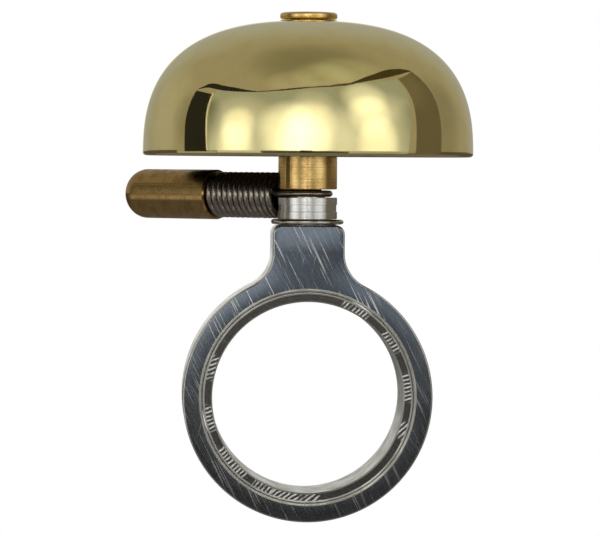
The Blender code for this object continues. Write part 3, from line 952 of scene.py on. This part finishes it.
def make_hammer():
    nose_start = HAMMER_TIP - HAMMER_NOSE
    stretch = HAMMER_NOSE / HAMMER_RADIUS
    nose = [(0.0, HAMMER_TIP)]
    nose += [(x, nose_start + y * stretch) for x, y in arc(0, 0, HAMMER_RADIUS, 88, 0, steps=40)]
    profile = nose + [
        (HAMMER_RADIUS, HAMMER_SHOULDER + HAMMER_CHAMFER),
        (HAMMER_RADIUS - HAMMER_CHAMFER, HAMMER_SHOULDER),
        (SPIGOT_RADIUS, HAMMER_SHOULDER),
        (SPIGOT_RADIUS, SPIGOT_START + HAMMER_CHAMFER),
        (SPIGOT_RADIUS - HAMMER_CHAMFER, SPIGOT_START),
        (0.0, SPIGOT_START),
    ]
    obj = turned("hammer_bar", profile)
    brass = turned_metal(
        "hammer_brass",
        bright=(0.52, 0.335, 0.13),
        dull=(0.36, 0.22, 0.075),
        roughness=0.26,
        fineness=5.0,
        groove=0.08,
        patina=0.8,
        spread=0.80,
    )
    obj.data.materials.append(brass)
    obj.rotation_mode = "QUATERNION"
    obj.rotation_quaternion = AWAY.to_track_quat("Z", "Y")
    obj.location = striker_point(0.0, STRIKER_OFFSET, STRIKER_HEIGHT)
    place(obj, "hammer", "aged_brass", "striker_hammer")


# ---------------------------------------------------------------------------------------------- studio

TENT_LIFT = 0.006
TENT_CENTRE = Vector((0.0, 0.0, RIM_HEIGHT + TENT_LIFT))
CARD_COLUMNS = 48
CARD_ROWS = 12

# How far the cards stand from the tent's centre. A nearer card hides a farther one.
CAMERA_BODY_AWAY = 1.00
TRIM_AWAY = 1.08
FLAG_AWAY = 1.10
HEM_AWAY = 1.12
LOW_FLAG_AWAY = 1.15
SHEET_AWAY = 1.20
LOW_SHEET_AWAY = 1.25
CAMERA_SIDE_AWAY = 1.30

FLOOR_HEIGHT = -0.35
FLOOR_REACH = 2.4
FLOOR_GLOW = 0.7

CAMERA_PLACE = (-0.0229, -0.429, 0.0315)
CAMERA_TURN = 2.93
CAMERA_TILT = -1.89
CAMERA_ROLL = 0.42
CAMERA_LENS_MM = 189.45
CAMERA_SENSOR_MM = 36.0


def direction(azimuth, elevation):
    """Azimuth 0 points from the object to the camera's side, -Y, and grows towards +X. In degrees."""
    a = math.radians(azimuth)
    e = math.radians(elevation)
    return Vector((math.sin(a) * math.cos(e), -math.cos(a) * math.cos(e), math.sin(e)))


def point_along(points, share):
    """A point on the smooth line through the points, at a share of the way between first and last."""
    reach = share * (len(points) - 1)
    index = min(int(reach), len(points) - 2)
    t = reach - index
    first, second = Vector(points[index]), Vector(points[index + 1])
    before = Vector(points[index - 1]) if index > 0 else first
    after = Vector(points[index + 2]) if index + 2 < len(points) else second
    return (
        first * (2 * t**3 - 3 * t**2 + 1)
        + second * (3 * t**2 - 2 * t**3)
        + (second - before) * 0.5 * (t**3 - 2 * t**2 + t)
        + (after - first) * 0.5 * (t**3 - t**2)
    )


def card(name, lower, upper, distance, finish):
    """A sheet bent round the object, between two edges of (azimuth, elevation) points."""
    shape = bmesh.new()
    rows = []
    for row in range(CARD_ROWS + 1):
        up = row / CARD_ROWS
        corners = []
        for column in range(CARD_COLUMNS + 1):
            across = column / CARD_COLUMNS
            azimuth, elevation = point_along(lower, across).lerp(point_along(upper, across), up)
            corners.append(shape.verts.new(direction(azimuth, elevation) * distance))
        rows.append(corners)
    for low_row, high_row in zip(rows, rows[1:]):
        for i in range(CARD_COLUMNS):
            shape.faces.new((low_row[i], low_row[i + 1], high_row[i + 1], high_row[i]))
    obj = new_object(name, shape)
    obj.location = TENT_CENTRE
    obj.data.materials.append(finish)
    obj.visible_camera = False
    return obj


def soft_spots(tree, towards, base, spots):
    """The base colour with round soft lights added: (azimuth, elevation, radius in degrees, colour).

    A light with a negative colour darkens.
    """
    plain = add(tree, "RGB")
    plain.outputs[0].default_value = (*base, 1.0)
    total = plain.outputs[0]
    for azimuth, elevation, radius, colour in spots:
        middle = direction(azimuth, elevation)
        aim = add(tree, "VectorMath", {0: towards, 1: middle}, operation="DOT_PRODUCT")
        share = fit(tree, aim.outputs["Value"], math.cos(math.radians(radius)), 1.0)
        light = add(tree, "VectorMath", {0: share, 1: colour}, operation="MULTIPLY").outputs[0]
        total = add(tree, "VectorMath", {0: total, 1: light}, operation="ADD").outputs[0]
    return total


def glowing(name, base, spots=()):
    """Stage material that only gives light, the same all over unless it has spots."""
    made = bpy.data.materials.new(name)
    made.use_nodes = True
    tree = made.node_tree
    tree.nodes.clear()
    colour = (*base, 1.0)
    if spots:
        place_on = add(tree, "TexCoord").outputs["Object"]
        towards = add(tree, "VectorMath", {0: place_on}, operation="NORMALIZE").outputs[0]
        colour = soft_spots(tree, towards, base, spots)
    emission = add(tree, "Emission", {"Color": colour, "Strength": 1.0})
    output = add(tree, "OutputMaterial")
    tree.links.new(emission.outputs[0], output.inputs[0])
    return made


def make_world():
    """The tent's cloth: dull olive, lighter above the front and low behind, and darker below.

    The camera sees white instead.
    """
    world = bpy.data.worlds.new("tent")
    bpy.context.scene.world = world
    world.use_nodes = True
    tree = world.node_tree
    tree.nodes.clear()
    towards = add(tree, "TexCoord").outputs["Generated"]
    height = split(tree, towards)[2]
    cloth = soft_spots(
        tree,
        towards,
        (0.335, 0.310, 0.245),
        [
            (-20, 52, 18, (0.08, 0.08, 0.06)),
            (14, 60, 21, (0.12, 0.13, 0.10)),
            (48, 63, 22, (0.10, 0.11, 0.08)),
            (180, 2, 16, (0.80, 0.80, 0.80)),
            (180, 20, 50, (0.05, 0.08, 0.12)),
            (0, 80, 36, (-0.12, -0.11, -0.10)),
            (-122, 12, 26, (0.07, 0.08, 0.09)),
            (-100, 14, 16, (-0.09, -0.08, -0.08)),
            (108, 14, 26, (-0.09, -0.08, -0.06)),
        ],
    )
    below, white = (0.16, 0.155, 0.15), (1.0, 1.0, 1.0)
    lit = blend_colors(tree, fit(tree, height, -0.16, 0.02), below, cloth)
    seen = blend_colors(tree, add(tree, "LightPath").outputs["Is Camera Ray"], lit, white)
    background = add(tree, "Background", {"Color": seen, "Strength": 1.0})
    output = add(tree, "OutputWorld")
    tree.links.new(background.outputs[0], output.inputs[0])


def make_cards():
    """The bright front sheet with its lamps, dark flags beside it, trims above it, and what is below."""
    sheet = glowing(
        "front_sheet",
        (0.34, 0.36, 0.34),
        [
            (-50, 2, 36, (0.30, 0.30, 0.30)),
            (0, 0, 38, (0.44, 0.44, 0.44)),
            (48, 4, 38, (0.34, 0.34, 0.34)),
            (-53, 11, 15, (0.55, 0.53, 0.49)),
            (-54, 0, 16, (0.50, 0.49, 0.46)),
            (-18, 12, 22, (0.50, 0.50, 0.47)),
            (-2, 12, 22, (0.50, 0.50, 0.47)),
            (-6, 2, 22, (0.50, 0.50, 0.48)),
            (0, 30, 16, (0.14, 0.14, 0.13)),
            (41, 33, 18, (0.42, 0.42, 0.40)),
            (42, 20, 18, (0.50, 0.50, 0.47)),
            (46, 2, 18, (0.55, 0.55, 0.52)),
            (-80, 14, 16, (-0.20, -0.20, -0.21)),
            (74, 8, 18, (-0.20, -0.20, -0.20)),
        ],
    )
    card(
        "front_sheet",
        [(-74, -1), (-40, -1), (0, -1), (36, -1), (69, -1)],
        [(-81, 34), (-44, 38), (0, 45.5), (43, 47.5), (84, 43.5)],
        SHEET_AWAY,
        sheet,
    )
    hem = glowing("sheet_hem", (0.70, 0.70, 0.62))
    card("sheet_hem", [(-76, -1), (-74.5, -1)], [(-83, 30), (-81.5, 31)], HEM_AWAY, hem)
    black = glowing("black_flag", (0.022, 0.021, 0.018))
    card("left_flag", [(-96, -2), (-75.5, -2)], [(-100, 29), (-82.5, 30)], FLAG_AWAY, black)
    brown = glowing("brown_flag", (0.130, 0.115, 0.080), [(84, 34, 20, (0.03, 0.025, 0.015))])
    card("right_flag", [(69, -30), (95, -30)], [(85, 43.5), (109, 42)], FLAG_AWAY, brown)
    card(
        "left_trim",
        [(-100, 29.5), (-90, 33.5), (-72, 35), (-56, 36.5), (-44, 38)],
        [(-97, 32.5), (-90, 37.5), (-72, 39), (-56, 39), (-44, 38.6)],
        TRIM_AWAY,
        black,
    )
    trim = glowing("brown_trim", (0.075, 0.06, 0.03))
    card(
        "middle_trim",
        [(-45, 37.8), (-20, 42.3), (0, 45.2), (20, 46.3), (40, 47.0)],
        [(-45, 38.8), (-20, 44.0), (0, 46.6), (20, 48.2), (40, 49.4)],
        TRIM_AWAY,
        trim,
    )
    card(
        "right_trim",
        [(36, 47.6), (60, 48.0), (85, 46.5), (101, 44), (109, 42)],
        [(36, 49.0), (60, 53.0), (85, 53.0), (101, 48.5), (109, 43)],
        TRIM_AWAY,
        glowing("right_trim", (0.055, 0.045, 0.022)),
    )
    below = glowing("camera_side", (0.045, 0.052, 0.062))
    card(
        "camera_side",
        [(-35, -18), (0, -18), (25, -18)],
        [(-35, -1.6), (0, -1.6), (25, -1.6)],
        CAMERA_SIDE_AWAY,
        below,
    )
    low = glowing("low_sheet", (0.56, 0.56, 0.54), [(48, -4, 40, (-0.20, -0.20, -0.20))])
    card(
        "low_sheet_left",
        [(-69, -20), (-50, -22), (-35, -24)],
        [(-67, -1), (-50, -1), (-35, -1)],
        LOW_SHEET_AWAY,
        low,
    )
    card("low_sheet_side", [(-108, -18), (-69, -20)], [(-104, -6), (-69, -6)], LOW_SHEET_AWAY, low)
    card(
        "low_sheet_right",
        [(25, -24), (50, -22), (69, -20)],
        [(25, -1), (50, -1), (69, -1)],
        LOW_SHEET_AWAY,
        low,
    )
    card("camera_body", [(-9, -18), (1, -18)], [(-8, -0.4), (0, -0.4)], CAMERA_BODY_AWAY, black)
    dusk = glowing("low_flag", (0.09, 0.08, 0.06))
    right_foot, right_top = [(95, -22), (165, -22)], [(95, -0.5), (165, -0.5)]
    card("low_flag_right", right_foot, right_top, LOW_FLAG_AWAY, dusk)
    left_foot, left_top = [(-165, -22), (-108, -22)], [(-165, -0.5), (-104, -0.5)]
    card("low_flag_left", left_foot, left_top, LOW_FLAG_AWAY, dusk)


def make_floor():
    """A plain pale floor, well below the object, which hangs by its bore. The metal doesn't mirror it."""
    shape = bmesh.new()
    bmesh.ops.create_grid(shape, x_segments=8, y_segments=8, size=FLOOR_REACH)
    obj = new_object("floor", shape)
    obj.location.z = FLOOR_HEIGHT
    obj.visible_glossy = False
    made, tree, shader = new_material("floor", Roughness=0.9, Emission_Color=(1.0, 1.0, 1.0, 1.0))
    shader.inputs["Emission Strength"].default_value = FLOOR_GLOW
    clouds = noise(tree, millimetres(tree), 0.004, 2.0)
    pale, paler = (0.76, 0.76, 0.76), (0.80, 0.80, 0.80)
    link(tree, shader, Base_Color=blend_colors(tree, clouds, paler, pale))
    obj.data.materials.append(made)


def make_camera():
    data = bpy.data.cameras.new("camera")
    data.lens = CAMERA_LENS_MM
    data.sensor_width = CAMERA_SENSOR_MM
    data.clip_start = 0.01
    camera = bpy.data.objects.new("camera", data)
    bpy.context.scene.collection.objects.link(camera)
    camera.location = CAMERA_PLACE
    camera.rotation_mode = "QUATERNION"
    forward = direction(180 - CAMERA_TURN, CAMERA_TILT)
    roll = Quaternion((0.0, 0.0, 1.0), math.radians(CAMERA_ROLL))
    camera.rotation_quaternion = forward.to_track_quat("-Z", "Y") @ roll
    bpy.context.scene.camera = camera


make_camera()
make_world()
make_cards()
make_floor()
bpy.context.scene.view_settings.view_transform = "Standard"

fastener_steel = turned_metal(
    "fastener_steel", bright=(0.55, 0.55, 0.56), dull=(0.34, 0.34, 0.35), roughness=0.32
)
make_bracket(bracket_face(), bare_aluminium("bracket_wall", roughness=0.28))
make_reducer(reducer_face(), bare_aluminium("reducer_wall", roughness=0.40))
make_mounting_bolt(fastener_steel)
make_lock_washer(fastener_steel)
make_stem_washer()
make_collar()
make_post()
make_dome(polished_brass(), shaded_inner_brass())
make_crown_washer()
make_dome_screw()
make_spring()
make_hammer()
